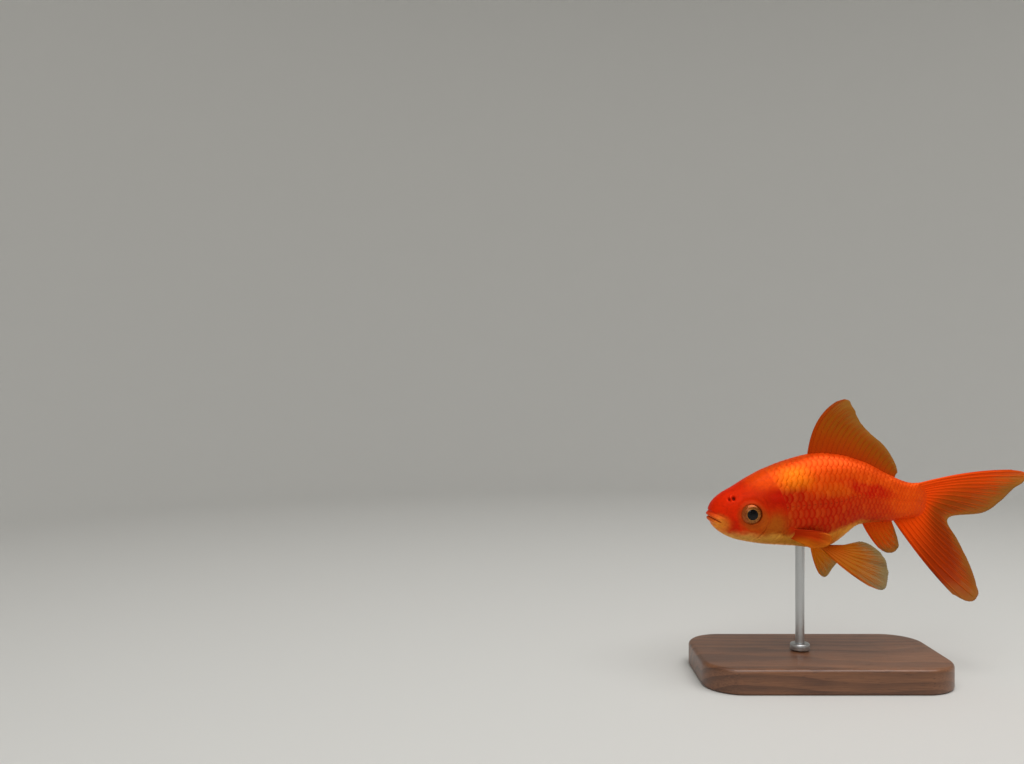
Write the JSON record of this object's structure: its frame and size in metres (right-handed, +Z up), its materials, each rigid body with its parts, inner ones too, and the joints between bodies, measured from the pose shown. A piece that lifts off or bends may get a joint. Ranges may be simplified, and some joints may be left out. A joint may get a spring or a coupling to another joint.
{
  "type": "goldfish",
  "caption": "Life-size still model of a young common goldfish with long fins, swimming, held by a rod over a flat wooden base.",
  "frame": {"origin": "middle of the stand base's underside, which rests on the floor", "axes": "+Z up, +X towards the fish's tail (the fish faces -X), -Y towards the fish's left side"},
  "size_m": [0.0843, 0.034, 0.0684],
  "materials": {
    "skin": "wet, scaled skin: bright orange back, red flank, golden belly and cheek",
    "fin": "translucent orange membrane over branching rays, paler at the margin",
    "eye": "silvery gold iris, black pupil, clear glossy cornea",
    "walnut": "satin oiled walnut",
    "steel": "fine brushed stainless steel"
  },
  "bodies": {
    "root": {"head": "skin", "upper_jaw": "skin", "lower_jaw": "skin", "gill_cover_left": "skin", "gill_cover_right": "skin", "trunk": "skin", "tail_stalk": "skin", "eye_left": "eye", "eye_right": "eye", "dorsal_fin": "fin", "anal_fin": "fin", "tail_fin": "fin", "pectoral_fin_left": "fin", "pectoral_fin_right": "fin", "pelvic_fin_left": "fin", "pelvic_fin_right": "fin", "stand_base": "walnut", "stand_rod": "steel", "stand_collar": "steel"}
  },
  "joints": []
}
